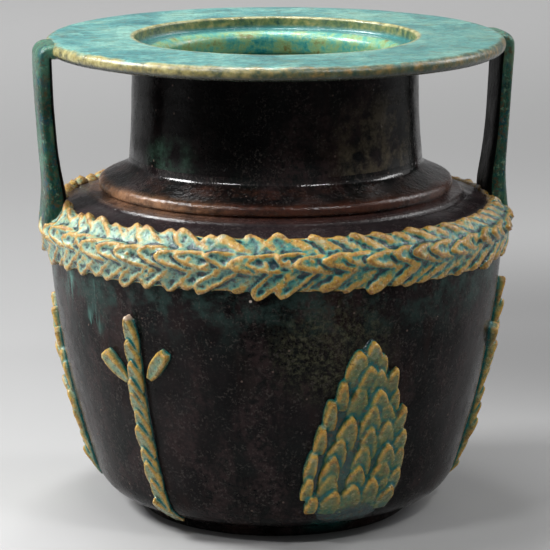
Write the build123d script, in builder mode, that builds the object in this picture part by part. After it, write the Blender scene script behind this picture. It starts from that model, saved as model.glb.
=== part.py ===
from build123d import *

import os
from math import asin, atan2, cos, degrees, hypot, pi, sin, sqrt, tan

os.makedirs("parts", exist_ok=True)

# Egyptian faience jar: a wide flat rim on a short neck, a round shoulder, two strap handles,
# a laurel garland round the shoulder and relief cones and scaly stalks on the wall.
# Millimetres, +Z up. The origin is the middle of the foot's resting face. The jar's axis is Z,
# and the handles stand on the -X and +X sides. Angles round the jar start at -Y and grow
# towards +X.

# Foot and wall
foot_height = 6.8
foot_ring_width = 11.0
foot_inset_width = 0.5  # how far the foot stands inside the flat of the bowl's underside
bowl_height = 123.2  # from the foot ring up to the joint where the shoulder is set on
girdle_radius = 109.3  # outside radius at that joint
wall_thickness = 7.0
wall_curve_radius = 450.0
wall_crown_height = 32.0  # height above the joint at which the wall's curve would stand upright
turn_radius = 22.0  # the curve by which the wall turns under to the foot

# Shoulder
shoulder_rise_height = 18.8  # from the joint to the shoulder's corner
shoulder_spread_width = 0.3
shoulder_corner_bevel_width = 7.0
shoulder_slope_height = 7.2
shoulder_top_bevel_width = 0.8
groove_height = 1.8
groove_depth = 1.7
groove_bed_height = 1.1
groove_step_width = 0.8  # how much further out the slope starts than the ridge stands
ridge_reach_width = 14.4  # from the neck out to the ridge
ridge_side_height = 3.6
ridge_bevel_width = 1.1
neck_foot_rise_height = 6.2
neck_foot_bevel_width = 3.0
neck_collar_height = 5.4

# Neck and rim
neck_height = 50.2
neck_bore_radius = 63.5
neck_foot_wall_thickness = 6.9
neck_top_wall_thickness = 5.2
neck_waist_depth = 0.5
rim_radius = 110.0
rim_thickness = 7.3
rim_edge_round_width = 3.3
rim_mouth_bevel_width = 1.2
mouth_step_width = 3.9  # how much wider the mouth is than the neck's bore
seat_flange_thickness = 1.4
seat_nose_width = 6.0  # how far the ledge stands into the bore
seat_nose_bevel_width = 3.2
seat_coil_height = 10.5  # how far the ledge's coil runs down inside the neck

# Handles
handle_top_reach_width = 5.3  # beyond the rim
handle_foot_reach_width = 3.3  # beyond the joint under the shoulder
handle_thickness = 6.5
handle_width = 22.0
handle_corner_radius = 7.0
handle_inner_bevel_height = 2.6
handle_edge_radius = 2.2
handle_top_drop_height = 0.3
handle_flare_height = 27.0  # above the garland
handle_flare_width = 8.5
handle_flare_radius = 27.0
handle_root_height = 12.0  # of the handle's end, above the joint

# Garland
garland_skirt_height = 2.4  # below the joint
garland_low_height = 6.0  # above the joint
garland_high_height = 13.0  # above the joint
garland_lap_height = 3.6  # above the shoulder's corner
garland_lap_width = 5.4  # inside the shoulder's corner
garland_skirt_proud_width = 0.9
garland_low_proud_width = 4.5
garland_high_proud_width = 4.1
leaves_in_row = 64
leaf_web_thickness = 0.3  # under the hollow at the leaf's stem
leaf_hollow_depth = 0.7
leaf_tip_thickness = 3.2
leaf_gap = 0.35
leaf_margin_width = 0.6  # from a leaf's ends to the edges of the face it lies on
upper_leaf_slant = 35.0
lower_leaf_slant = 33.0
middle_leaf_point_length = 5.0

# Relief on the wall
relief_seat_gap = 0.05
cone_angles = {"front": 12.0, "back": 136.0, "left": -107.0}
cone_foot_lift_height = 2.2  # above the foot ring
cone_lower_height = 37.0
cone_upper_height = 60.0
cone_half_width = 24.5
cone_foot_half_width = 12.0
cone_bed_thickness = 1.6
cone_column_width = 10.2
cone_column_gap = 0.6
cone_scale_length = 10.0
cone_scale_point_length = 6.5
cone_band_height = 17.0  # plain band under the lowest scales
scale_web_thickness = 0.2
scale_hollow_depth = 0.6
scale_tip_thickness = 3.0
stalk_angles = {"front": -49.5, "right": 77.0, "back": -166.0}
stalk_foot_lift_height = 4.2  # above the foot ring
stalk_height = 101.0
stalk_half_width = 3.4
stalk_edge_gap = 0.2
stalk_bed_thickness = 1.6
stalk_scale_length = 9.6
stalk_scale_point_length = 6.0
twig_length = 16.5
twig_width = 4.8
twig_slant = 39.0
twig_foot_height = 70.5  # above the foot of the stalk
twig_stand_off_width = 4.1
twig_thickness = 3.0

overrun_length = 5.0  # how far a cutting shape passes the faces it cuts
section_turn = 15.0  # turns the seam of each turned body clear of the handles and the relief

handle_corner_share = 0.95  # of the run to the rim that the strap's corner may take

# Shares of a leaf's length and width at the corners of its outline, and of a scale's
leaf_shoulder_share = 0.30
leaf_cheek_share = 0.74
leaf_stem_width_share = 0.30
chevron_root_share = 0.78
scale_on_bed_share = 0.25  # how much of its width a scale at the cone's edge must have on the bed

# Heights above the resting face, and radii, from the foot up
girdle_height = foot_height + bowl_height
shoulder_corner_height = girdle_height + shoulder_rise_height
shoulder_corner_radius = girdle_radius + shoulder_spread_width
shoulder_top_height = shoulder_corner_height + shoulder_slope_height
ridge_foot_height = shoulder_top_height + groove_height
ridge_top_height = ridge_foot_height + ridge_side_height
neck_foot_height = ridge_top_height + neck_foot_rise_height
neck_joint_height = neck_foot_height + neck_collar_height
rim_under_height = neck_joint_height + neck_height
rim_top_height = rim_under_height + rim_thickness
neck_foot_radius = neck_bore_radius + neck_foot_wall_thickness
neck_top_radius = neck_bore_radius + neck_top_wall_thickness
ridge_radius = neck_foot_radius + ridge_reach_width
mouth_radius = neck_bore_radius + mouth_step_width

# The wall is one long arc, and a small arc under it that ends level at the top of the foot.
wall_centre = (
    girdle_radius - sqrt(wall_curve_radius**2 - wall_crown_height**2),
    girdle_height + wall_crown_height,
)
turn_height = foot_height + turn_radius
turn_centre = (
    wall_centre[0]
    + sqrt((wall_curve_radius - turn_radius) ** 2 - (wall_centre[1] - turn_height) ** 2),
    turn_height,
)
turn_angle = atan2(turn_centre[1] - wall_centre[1], turn_centre[0] - wall_centre[0])
foot_radius = turn_centre[0] - foot_inset_width


def on_arc(centre, radius, angle):
    """Point at an angle on the arc about a centre."""
    return (centre[0] + radius * cos(angle), centre[1] + radius * sin(angle))


def angle_at_height(centre, radius, height):
    """Angle at which the arc about a centre reaches a height."""
    return asin((height - centre[1]) / radius)


def wall_lean(height):
    """Angle of the wall's outward normal above level, at a height on its outside."""
    lowest_of_long_arc = on_arc(wall_centre, wall_curve_radius, turn_angle)[1]
    if height > lowest_of_long_arc:
        return angle_at_height(wall_centre, wall_curve_radius, height)
    return angle_at_height(turn_centre, turn_radius, height)


def wall_radius(height, proud=0.0):
    """Outer radius of the wall at a height, or of a skin standing proud of it."""
    lowest_of_long_arc = on_arc(wall_centre, wall_curve_radius + proud, turn_angle)[1]
    if height > lowest_of_long_arc:
        centre, radius = wall_centre, wall_curve_radius + proud
    else:
        centre, radius = turn_centre, turn_radius + proud
    return on_arc(centre, radius, angle_at_height(centre, radius, height))[0]


def arc_between(centre, radius, start, end):
    """Arc of the outline being drawn, from one angle to another about a centre."""
    middle = (start + end) / 2
    return ThreePointArc(
        on_arc(centre, radius, start),
        on_arc(centre, radius, middle),
        on_arc(centre, radius, end),
    )


def facing(angle):
    """Upright plane through the axis that faces out at an angle: x is level, y is height."""
    turn = angle * pi / 180
    return Plane(
        origin=(0, 0, 0), x_dir=(cos(turn), sin(turn), 0), z_dir=(sin(turn), -cos(turn), 0)
    )


def frame_on_jar(angle, radius, height, lean, slant=0.0):
    """Plane that touches the jar: x runs along a leaf, z stands out of the surface.

    The angle is round the jar in degrees, the lean is that of the surface's normal above
    level in radians, and the slant is the leaf's direction in radians, from the one that
    runs clockwise round the jar, seen from above, towards straight up.
    """
    turn = angle * pi / 180
    out = Vector(sin(turn), -cos(turn), 0)
    along = Vector(-cos(turn), -sin(turn), 0)
    up = Vector(0, 0, 1)
    normal = out * cos(lean) + up * sin(lean)
    rise = up * cos(lean) - out * sin(lean)
    spot = out * radius + up * height
    return Plane(origin=spot, x_dir=along * cos(slant) + rise * sin(slant), z_dir=normal)


def bevelled(corners, bevels):
    """Closed outline with its corners cut back along both sides; a bevel of zero leaves one."""
    points = []
    for index, (corner, bevel) in enumerate(zip(corners, bevels)):
        for other in (corners[index - 1], corners[(index + 1) % len(corners)]):
            across, up = other[0] - corner[0], other[1] - corner[1]
            share = bevel / hypot(across, up)
            points.append((corner[0] + share * across, corner[1] + share * up))
            if not bevel:
                break
    return points


def hollow_blade(outline, start, end, web_thickness, tip_thickness, hollow):
    """Leaf or scale over an outline: it rises from root to tip and is hollow between its edges."""
    half_width = max(point[1] for point in outline)
    root_thickness = web_thickness + hollow
    slope = atan2(tip_thickness - root_thickness, end - start)
    reach = end - start + overrun_length
    valley = Plane(
        origin=(start, 0, web_thickness),
        x_dir=(0, 1, 0),
        z_dir=(cos(slope), 0, sin(slope)),
    )
    with BuildPart() as blade:
        with BuildSketch():
            with BuildLine():
                Polyline(*outline, close=True)
            make_face()
        extrude(amount=tip_thickness)
        with BuildSketch(valley.offset(-overrun_length)):
            with BuildLine():
                wing = half_width + overrun_length
                lift = hollow * wing / half_width
                Polyline((0, 0), (wing, lift), (wing, wing), (-wing, wing), (-wing, lift), close=True)
            make_face()
        extrude(amount=reach + overrun_length, mode=Mode.SUBTRACT)
    return blade.part


def leaf_outline(length, width):
    """Laurel leaf with its stem end at -x and its point at +x."""
    back = -length / 2
    half = width / 2
    side = [
        (back, half * leaf_stem_width_share),
        (back + length * leaf_shoulder_share, half),
        (back + length * leaf_cheek_share, half),
    ]
    mirrored = [(x, -y) for x, y in reversed(side)]
    return side + [(length / 2, 0)] + mirrored


def chevron_outline(step, width, point):
    """Overlapping scale: its notch takes the point of the next one, a step behind."""
    body = step - leaf_gap
    front = (step + point) / 2
    half = width / 2
    root = half * chevron_root_share
    cheek = front - point
    corner = front - body - point * chevron_root_share
    side = [(corner, root), (cheek, half)]
    mirrored = [(x, -y) for x, y in reversed(side)]
    return [(front - body, 0)] + side + [(front, 0)] + mirrored


section = facing(section_turn)

# Foot: a low ring that carries the jar
with BuildPart() as foot_ring:
    with BuildSketch():
        Circle(foot_radius)
        Circle(foot_radius - foot_ring_width, mode=Mode.SUBTRACT)
    extrude(amount=foot_height)
foot_ring.part.label = "foot_ring"

# Bowl: the lower wall and the floor
girdle_angle = angle_at_height(wall_centre, wall_curve_radius, girdle_height)
inside_girdle = (girdle_radius - wall_thickness, girdle_height)
inside_waist_height = (girdle_height + turn_height) / 2
with BuildPart() as bowl:
    with BuildSketch(section):
        with BuildLine():
            under = Line((0, foot_height), (turn_centre[0], foot_height))
            arc_between(turn_centre, turn_radius, -pi / 2, turn_angle)
            arc_between(wall_centre, wall_curve_radius, turn_angle, girdle_angle)
            Polyline(
                (girdle_radius, girdle_height),
                inside_girdle,
                (wall_radius(inside_waist_height) - wall_thickness, inside_waist_height),
                (wall_radius(turn_height) - wall_thickness, turn_height),
                (turn_centre[0], foot_height + wall_thickness),
                (0, foot_height + wall_thickness),
                under @ 0,
            )
        make_face()
    revolve(axis=Axis.Z)
bowl.part.label = "bowl"

# Shoulder: turns in over the bowl and carries the raised ridge under the neck
shoulder_corners = {
    (girdle_radius, girdle_height): 0,
    (shoulder_corner_radius, shoulder_corner_height): shoulder_corner_bevel_width,
    (ridge_radius + groove_step_width, shoulder_top_height): shoulder_top_bevel_width,
    (ridge_radius - groove_depth, shoulder_top_height + groove_bed_height): 0,
    (ridge_radius, ridge_foot_height): 0,
    (ridge_radius, ridge_top_height): ridge_bevel_width,
    (neck_foot_radius, neck_foot_height): neck_foot_bevel_width,
    (neck_foot_radius, neck_joint_height): 0,
    (neck_bore_radius, neck_joint_height): 0,
    (neck_bore_radius, shoulder_top_height): neck_foot_bevel_width,
    (inside_girdle[0], shoulder_corner_height - wall_thickness): shoulder_corner_bevel_width,
    inside_girdle: 0,
}
with BuildPart() as shoulder:
    with BuildSketch(section):
        with BuildLine():
            Polyline(*bevelled(list(shoulder_corners), shoulder_corners.values()), close=True)
        make_face()
    revolve(axis=Axis.Z)
shoulder.part.label = "shoulder"

# Neck: a short upright wall, a little drawn in at its middle
neck_middle = (
    (neck_foot_radius + neck_top_radius) / 2 - neck_waist_depth,
    (neck_joint_height + rim_under_height) / 2,
)
with BuildPart() as neck:
    with BuildSketch(section):
        with BuildLine():
            ThreePointArc(
                (neck_foot_radius, neck_joint_height),
                neck_middle,
                (neck_top_radius, rim_under_height),
            )
            Polyline(
                (neck_top_radius, rim_under_height),
                (neck_bore_radius, rim_under_height),
                (neck_bore_radius, neck_joint_height),
                (neck_foot_radius, neck_joint_height),
            )
        make_face()
    revolve(axis=Axis.Z)
neck.part.label = "neck"

# Rim: the wide flat collar with its half-round edge
rim_middle_height = rim_top_height - rim_thickness / 2
with BuildPart() as rim:
    with BuildSketch(section):
        with BuildLine():
            edge = EllipticalCenterArc(
                (rim_radius - rim_edge_round_width, rim_middle_height),
                rim_edge_round_width,
                rim_thickness / 2,
                start_angle=-90,
                arc_size=180,
            )
            Polyline(
                edge @ 1,
                (mouth_radius + rim_mouth_bevel_width, rim_top_height),
                (mouth_radius, rim_top_height - rim_mouth_bevel_width),
                (mouth_radius, rim_under_height),
                edge @ 0,
            )
        make_face()
    revolve(axis=Axis.Z)
rim.part.label = "rim"

# Lid seat: a coil inside the mouth, with its nose rounded off, that a lid would rest on
seat_height = rim_under_height + seat_flange_thickness
seat_corners = {
    (mouth_radius, seat_height): 0,
    (neck_bore_radius - seat_nose_width, seat_height): seat_nose_bevel_width,
    (neck_bore_radius, rim_under_height - seat_coil_height): 0,
    (neck_bore_radius, rim_under_height): 0,
    (mouth_radius, rim_under_height): 0,
}
with BuildPart() as lid_seat:
    with BuildSketch(section):
        with BuildLine():
            Polyline(*bevelled(list(seat_corners), seat_corners.values()), close=True)
        make_face()
    revolve(axis=Axis.Z)
lid_seat.part.label = "lid_seat"

# Garland band: the strip of paste that the leaves are pressed on
skirt_edge = (girdle_radius + garland_skirt_proud_width, girdle_height - garland_skirt_height)
low_edge = (girdle_radius + garland_low_proud_width, girdle_height + garland_low_height)
high_edge = (girdle_radius + garland_high_proud_width, girdle_height + garland_high_height)
lap_edge = (
    shoulder_corner_radius - garland_lap_width,
    shoulder_corner_height + garland_lap_height,
)
inside_wall = wall_thickness / 2
with BuildPart() as garland_band:
    with BuildSketch(section):
        with BuildLine():
            Polyline(
                (girdle_radius - inside_wall, skirt_edge[1]),
                skirt_edge,
                low_edge,
                high_edge,
                lap_edge,
                (lap_edge[0] - inside_wall, lap_edge[1] - inside_wall),
                (girdle_radius - inside_wall, shoulder_corner_height - wall_thickness),
                close=True,
            )
        make_face()
    revolve(axis=Axis.Z)
    add(bowl.part, mode=Mode.SUBTRACT)
    add(shoulder.part, mode=Mode.SUBTRACT)
garland_band.part.label = "garland_band"


def face_of_band(low, high):
    """Middle, slant height and lean of the band's conical face between two of its edges."""
    middle = ((low[0] + high[0]) / 2, (low[1] + high[1]) / 2)
    lean = atan2(low[0] - high[0], high[1] - low[1])
    return middle, hypot(high[0] - low[0], high[1] - low[1]), lean


def laurel_row(low, high, slant):
    """Outline, length and place of a leaf that crosses a face of the band at a slant."""
    middle, slant_height, lean = face_of_band(low, high)
    angle = slant * pi / 180
    length = (slant_height - 2 * leaf_margin_width) / sin(abs(angle))
    width = 2 * pi * middle[0] / leaves_in_row * sin(abs(angle)) - leaf_gap
    seat = middle[0] + relief_seat_gap
    return leaf_outline(length, width), length, frame_on_jar(0, seat, middle[1], lean, angle)


# Garland leaves: three rows round the band, all pointing clockwise seen from above
belt_middle, belt_height, belt_lean = face_of_band(low_edge, high_edge)
belt_radius = max(low_edge[0], high_edge[0])
leaf_step = 2 * pi * belt_radius / leaves_in_row
high_lean = face_of_band(high_edge, lap_edge)[2]
rows = {
    "upper": laurel_row(high_edge, lap_edge, upper_leaf_slant),
    "middle": (
        chevron_outline(leaf_step, belt_height, middle_leaf_point_length),
        leaf_step,
        frame_on_jar(0, belt_radius + relief_seat_gap, belt_middle[1], 0),
    ),
    "lower": laurel_row(skirt_edge, low_edge, -lower_leaf_slant),
}
garland_rows = {}
for row, (outline, length, place) in rows.items():
    leaf = hollow_blade(
        outline,
        -length / 2,
        length / 2,
        leaf_web_thickness,
        leaf_tip_thickness,
        leaf_hollow_depth,
    )
    with BuildPart() as leaves:
        with PolarLocations(0, leaves_in_row):
            add(place.location * leaf)
    leaves.part.label = f"garland_{row}_leaves"
    garland_rows[row] = leaves.part

# Handles: upright straps from the rim's edge down to the shoulder beside the garland
handle_top_height = rim_top_height - handle_top_drop_height
handle_end_height = girdle_height + handle_root_height
flare_height = lap_edge[1] + handle_flare_height
rim_flat_radius = rim_radius - rim_edge_round_width
outer_top_radius = rim_radius + handle_top_reach_width
outer_foot_radius = girdle_radius + handle_foot_reach_width
inner_top_radius = outer_top_radius - handle_thickness
inner_foot_radius = outer_foot_radius - handle_thickness
strap_lean = atan2(outer_top_radius - outer_foot_radius, handle_top_height - handle_end_height)
strap_corner_run = (outer_top_radius - rim_flat_radius) * tan((pi / 2 - strap_lean) / 2)
strap_corner_radius = min(handle_corner_radius, strap_corner_run * handle_corner_share)
leaf_cover = leaf_tip_thickness / cos(high_lean) + leaf_gap
with BuildPart() as garland_cover:
    with BuildSketch(section):
        with BuildLine():
            Polyline(
                (neck_bore_radius, skirt_edge[1]),
                (low_edge[0] + handle_thickness, skirt_edge[1]),
                (low_edge[0] + handle_thickness, high_edge[1]),
                (high_edge[0], high_edge[1] + leaf_cover),
                (lap_edge[0], lap_edge[1] + leaf_cover),
                (lap_edge[0] - leaf_tip_thickness, lap_edge[1]),
                close=True,
            )
        make_face()
    revolve(axis=Axis.Z)
handles = {}
for side, angle in (("left", -90), ("right", 90)):
    turn = angle * pi / 180
    side_view = Plane(
        origin=(0, 0, 0), x_dir=(sin(turn), -cos(turn), 0), z_dir=(-cos(turn), -sin(turn), 0)
    )
    with BuildPart() as handle:
        with BuildSketch(side_view):
            with BuildLine():
                FilletPolyline(
                    (rim_flat_radius, handle_top_height),
                    (outer_top_radius, handle_top_height),
                    (outer_foot_radius, handle_end_height),
                    (inner_foot_radius - handle_flare_width, handle_end_height),
                    (inner_foot_radius, flare_height),
                    (inner_top_radius, rim_under_height - handle_inner_bevel_height),
                    (rim_flat_radius, rim_under_height),
                    radius=[0, strap_corner_radius, 0, 0, handle_flare_radius, 0, 0],
                    close=True,
                )
            make_face()
        extrude(amount=handle_width / 2, both=True)
        long_edges = handle.faces().filter_by(side_view).edges().sort_by(Axis.Z)[2:]
        fillet(long_edges, handle_edge_radius)
        add(rim.part, mode=Mode.SUBTRACT)
        add(shoulder.part, mode=Mode.SUBTRACT)
        add(garland_band.part, mode=Mode.SUBTRACT)
        add(garland_cover.part, mode=Mode.SUBTRACT)
    handle.part.label = f"handle_{side}"
    handles[side] = handle.part


def skin_over_wall(thickness):
    """Shell that lies on the outside of the wall, from the foot up to the girdle."""
    inner_turn = turn_radius + relief_seat_gap
    inner_curve = wall_curve_radius + relief_seat_gap
    inner_top = angle_at_height(wall_centre, inner_curve, girdle_height)
    outer_top = angle_at_height(wall_centre, wall_curve_radius + thickness, girdle_height)
    with BuildPart() as skin:
        with BuildSketch(section):
            with BuildLine():
                Line(
                    on_arc(turn_centre, inner_turn, -pi / 2),
                    on_arc(turn_centre, turn_radius + thickness, -pi / 2),
                )
                arc_between(turn_centre, turn_radius + thickness, -pi / 2, turn_angle)
                arc_between(wall_centre, wall_curve_radius + thickness, turn_angle, outer_top)
                Line(
                    on_arc(wall_centre, wall_curve_radius + thickness, outer_top),
                    on_arc(wall_centre, inner_curve, inner_top),
                )
                arc_between(wall_centre, inner_curve, inner_top, turn_angle)
                arc_between(turn_centre, inner_turn, turn_angle, -pi / 2)
            make_face()
        revolve(axis=Axis.Z)
    return skin.part


# Cones: a leaf-shaped bed of paste with staggered columns of overlapping scales
cone_foot_height = foot_height + cone_foot_lift_height
cone_wide_height = cone_foot_height + cone_lower_height
cone_tip_height = cone_wide_height + cone_upper_height
cone_foot_taper = cone_half_width - cone_foot_half_width
cone_upper_arc = (cone_upper_height**2 + cone_half_width**2) / (2 * cone_half_width)
cone_lower_arc = (cone_lower_height**2 + cone_foot_taper**2) / (2 * cone_foot_taper)
cone_scale_width = cone_column_width - cone_column_gap


def cone_half_width_at(height):
    """Half the cone's width at a height: two arcs that meet where it is widest."""
    arc = cone_upper_arc if height > cone_wide_height else cone_lower_arc
    return cone_half_width - arc + sqrt(arc**2 - (height - cone_wide_height) ** 2)


def cone_scale_places(angle):
    """Planes for the scales of one cone: every other column is half a step higher."""
    places = []
    columns = int(cone_half_width / cone_column_width)
    for column in range(-columns, columns + 1):
        offset = column * cone_column_width
        stagger = (column % 2) * cone_scale_length / 2
        height = cone_foot_height + cone_band_height + stagger
        while height + cone_scale_point_length < cone_tip_height:
            if abs(offset) + cone_scale_width * scale_on_bed_share < cone_half_width_at(height):
                lean = wall_lean(height)
                radius = wall_radius(height, cone_bed_thickness) + relief_seat_gap
                turned = angle + degrees(offset / radius)
                places.append(frame_on_jar(turned, radius, height, lean, pi / 2))
            height += cone_scale_length
    return places


cone_skin = skin_over_wall(cone_bed_thickness)
cone_scale = hollow_blade(
    chevron_outline(cone_scale_length, cone_scale_width, cone_scale_point_length),
    -cone_scale_length / 2,
    cone_scale_length / 2,
    scale_web_thickness,
    scale_tip_thickness,
    scale_hollow_depth,
)
cones = []
for side, angle in cone_angles.items():
    with BuildPart() as cone_bed:
        with BuildSketch(facing(angle)):
            with BuildLine():
                upper_middle = (cone_wide_height + cone_tip_height) / 2
                lower_middle = (cone_wide_height + cone_foot_height) / 2
                right = [
                    ThreePointArc(
                        (0, cone_tip_height),
                        (cone_half_width_at(upper_middle), upper_middle),
                        (cone_half_width, cone_wide_height),
                    ),
                    ThreePointArc(
                        (cone_half_width, cone_wide_height),
                        (cone_half_width_at(lower_middle), lower_middle),
                        (cone_foot_half_width, cone_foot_height),
                    ),
                ]
                Line((cone_foot_half_width, cone_foot_height), (0, cone_foot_height))
                mirror(about=Plane.YZ)
            make_face()
        extrude(amount=girdle_radius + overrun_length)
        add(cone_skin, mode=Mode.INTERSECT)
    cone_bed.part.label = f"cone_{side}_bed"
    with BuildPart() as cone_scales:
        add([place.location * cone_scale for place in cone_scale_places(angle)])
    cone_scales.part.label = f"cone_{side}_scales"
    cones += [cone_bed.part, cone_scales.part]

# Stalks: a narrow bed with one column of scales, and two twigs that spread from it
stalk_foot_height = foot_height + stalk_foot_lift_height
stalk_tip_height = stalk_foot_height + stalk_height
stalk_scale_width = 2 * (stalk_half_width - stalk_edge_gap)
stalk_skin = skin_over_wall(stalk_bed_thickness)
stalk_scale = hollow_blade(
    chevron_outline(stalk_scale_length, stalk_scale_width, stalk_scale_point_length),
    -stalk_scale_length / 2,
    stalk_scale_length / 2,
    scale_web_thickness,
    scale_tip_thickness,
    scale_hollow_depth,
)
twig = hollow_blade(
    leaf_outline(twig_length, twig_width),
    -twig_length / 2,
    twig_length / 2,
    leaf_web_thickness,
    twig_thickness,
    leaf_hollow_depth,
)
stalks = []
for side, angle in stalk_angles.items():
    with BuildPart() as stalk_bed:
        with BuildSketch(facing(angle)):
            with BuildLine():
                shoulder_height = stalk_tip_height - stalk_scale_length
                taper_height = stalk_foot_height + stalk_scale_length
                Polyline(
                    (0, stalk_foot_height),
                    (stalk_half_width, taper_height),
                    (stalk_half_width, shoulder_height),
                    (0, stalk_tip_height),
                    (-stalk_half_width, shoulder_height),
                    (-stalk_half_width, taper_height),
                    close=True,
                )
            make_face()
        extrude(amount=girdle_radius + overrun_length)
        add(stalk_skin, mode=Mode.INTERSECT)
    stalk_bed.part.label = f"stalk_{side}_stem"
    with BuildPart() as stalk_scales:
        height = stalk_tip_height - (stalk_scale_length + stalk_scale_point_length) / 2
        while height > stalk_foot_height:
            radius = wall_radius(height, stalk_bed_thickness) + relief_seat_gap
            place = frame_on_jar(angle, radius, height, wall_lean(height), pi / 2)
            add(place.location * stalk_scale)
            height -= stalk_scale_length
    stalk_scales.part.label = f"stalk_{side}_scales"
    with BuildPart() as twigs:
        for hand in (-1, 1):
            spread = twig_slant * pi / 180
            height = stalk_foot_height + twig_foot_height + twig_length / 2 * cos(spread)
            foot_offset = stalk_half_width + twig_stand_off_width
            across = hand * (foot_offset + twig_length / 2 * sin(spread))
            radius = wall_radius(height) + relief_seat_gap
            turned = angle + degrees(across / radius)
            slant = pi / 2 + hand * spread
            place = frame_on_jar(turned, radius, height, wall_lean(height), slant)
            add(place.location * twig)
    twigs.part.label = f"stalk_{side}_twigs"
    stalks += [stalk_bed.part, stalk_scales.part, twigs.part]

pieces = [
    foot_ring.part,
    bowl.part,
    shoulder.part,
    neck.part,
    rim.part,
    lid_seat.part,
    garland_band.part,
    *garland_rows.values(),
    *handles.values(),
    *cones,
    *stalks,
]
for piece in pieces:
    export_step(piece, f"parts/{piece.label}.step")
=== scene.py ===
from math import atan2, cos, hypot, pi, radians, sin, sqrt, tan

import bmesh
import bpy
import numpy as np
from mathutils import Matrix, Vector, noise


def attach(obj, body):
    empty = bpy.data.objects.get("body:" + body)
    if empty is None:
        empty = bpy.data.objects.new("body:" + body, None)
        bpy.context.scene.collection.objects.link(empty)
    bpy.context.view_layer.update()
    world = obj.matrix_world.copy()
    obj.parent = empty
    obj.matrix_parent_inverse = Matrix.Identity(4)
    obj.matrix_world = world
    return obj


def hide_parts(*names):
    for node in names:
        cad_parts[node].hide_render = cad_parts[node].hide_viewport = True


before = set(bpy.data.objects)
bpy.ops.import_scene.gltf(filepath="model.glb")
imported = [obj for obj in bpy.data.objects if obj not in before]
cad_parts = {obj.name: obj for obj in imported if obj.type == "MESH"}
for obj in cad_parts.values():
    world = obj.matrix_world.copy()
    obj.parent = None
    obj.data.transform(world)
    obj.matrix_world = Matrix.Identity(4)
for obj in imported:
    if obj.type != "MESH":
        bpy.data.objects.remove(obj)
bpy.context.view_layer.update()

MM = 0.001
noise.seed_set(64)  # otherwise vector noise starts from the clock, and no two runs are alike

# ---------- the jar's sizes, in mm
girdle = (109.3, 130.0)  # radius and height where the wall is widest
wall_curve = 450.0  # radius of the wall's upright curve
wall_crown = 32.0  # how far above the girdle that curve has its centre
wall_thick = 7.0
turn_curve = 22.0  # radius of the turn from the wall to the foot
foot_top = 6.8
neck_bore = 63.5
slow_sway, quick_sway = 38.0, 11.0  # sizes of the unevenness that hands leave
fine_lump, broad_lump = 2.6, 7.0  # sizes of the lumps on pressed paste
speck = 60  # fewer points than this make a loose speck
crease = radians(38)  # bends sharper than this stay crisp
wall_centre = (girdle[0] - sqrt(wall_curve**2 - wall_crown**2), girdle[1] + wall_crown)
turn_centre = (
    wall_centre[0]
    + sqrt((wall_curve - turn_curve) ** 2 - (wall_centre[1] - foot_top - turn_curve) ** 2),
    foot_top + turn_curve,
)
turn_join = turn_centre[1] + turn_curve * (turn_centre[1] - wall_centre[1]) / (
    wall_curve - turn_curve
)


def wall_radius(z):
    """Outside radius of the wall at a height."""
    if z > turn_join:
        return wall_centre[0] + sqrt(wall_curve**2 - (z - wall_centre[1]) ** 2)
    return turn_centre[0] + sqrt(max(turn_curve**2 - (z - turn_centre[1]) ** 2, 0))


def wall_lean(z):
    """How far the wall's face is turned from upright at a height: below zero it looks down."""
    centre, curve = (wall_centre, wall_curve) if z > turn_join else (turn_centre, turn_curve)
    return atan2(z - centre[1], sqrt(max(curve**2 - (z - centre[1]) ** 2, 1e-6)))


wall_heights = np.linspace(foot_top + 0.4, 140, 120)
wall_radii = [wall_radius(z) for z in wall_heights]


def on_jar(angle, radius, z):
    """Point at an angle round the jar, counted from the front towards +X."""
    return Vector((radius * sin(angle), -radius * cos(angle), z))


# ---------- shaping
def rounded(corners, steps=6):
    """Outline through corners (r, z, rounding), each rounding drawn as a small bend."""
    out = []
    last = len(corners) - 1
    for i, corner in enumerate(corners):
        here = Vector(corner[:2])
        size = corner[2] if len(corner) > 2 else 0
        if size <= 0 or i in (0, last):
            out.append(here)
            continue
        before, after = Vector(corners[i - 1][:2]), Vector(corners[i + 1][:2])
        a = here + (before - here).normalized() * min(size, (before - here).length * 0.49)
        b = here + (after - here).normalized() * min(size, (after - here).length * 0.49)
        for k in range(steps + 1):
            t = k / steps
            out.append(a * (1 - t) ** 2 + here * (2 * t * (1 - t)) + b * t**2)
    return [(p.x, p.y) for p in out]


def dense(outline, longest=2.4):
    """The outline with its long runs divided."""
    out = [outline[0]]
    for p, q in zip(outline, outline[1:]):
        pieces = max(1, int(np.ceil(hypot(q[0] - p[0], q[1] - p[1]) / longest)))
        out += [
            (p[0] + (q[0] - p[0]) * k / pieces, p[1] + (q[1] - p[1]) * k / pieces)
            for k in range(1, pieces + 1)
        ]
    return out


def hand_made(points, amount=0.3):
    """Shift points by the slow unevenness of hand work, the same for all that touch."""
    out = np.array(points, dtype=float)
    for i, p in enumerate(out):
        slow = noise.noise_vector(Vector(p) / slow_sway)
        quick = noise.noise_vector(Vector(p) / quick_sway + Vector((7, 3, 5)))
        shift = (slow + quick * 0.3) * amount
        grip = min(p[2] / 12.0, 1.0)
        out[i] = p + np.array((shift.x, shift.y, shift.z * grip * 0.7))
    return out


def smooth(mesh):
    """Shade all faces smooth."""
    mesh.polygons.foreach_set("use_smooth", [True] * len(mesh.polygons))


def mesh_piece(name, points, faces, outward=True):
    """Object at the origin from points in mm."""
    mesh = bpy.data.meshes.new(name)
    mesh.from_pydata((np.asarray(points) * MM).tolist(), [], faces)
    if outward:
        form = bmesh.new()
        form.from_mesh(mesh)
        bmesh.ops.recalc_face_normals(form, faces=form.faces)
        form.to_mesh(mesh)
        form.free()
    smooth(mesh)
    piece = bpy.data.objects.new(name, mesh)
    bpy.context.scene.collection.objects.link(piece)
    return piece


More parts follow.
